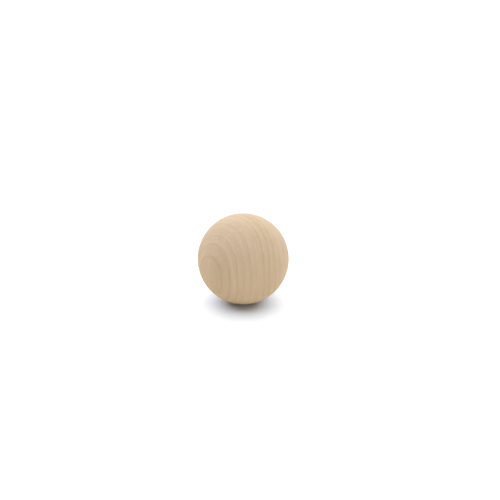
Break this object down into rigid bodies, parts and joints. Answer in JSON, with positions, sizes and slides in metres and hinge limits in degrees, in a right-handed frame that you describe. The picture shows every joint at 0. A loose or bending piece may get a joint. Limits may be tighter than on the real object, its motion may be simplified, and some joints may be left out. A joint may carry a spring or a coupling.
{
  "type": "wooden ball",
  "caption": "Plain solid hardwood ball, turned from one piece and sanded, with growth rings showing and no hole, flat or finish.",
  "frame": {"origin": "centre of the ball", "axes": "+Z is the lathe's axis and points up, within 9 degrees of the grain; X and Y cross the grain"},
  "size_m": [0.0508, 0.0508, 0.0508],
  "materials": {
    "wood": "matte"
  },
  "bodies": {
    "root": {"ball": "wood"}
  },
  "joints": []
}
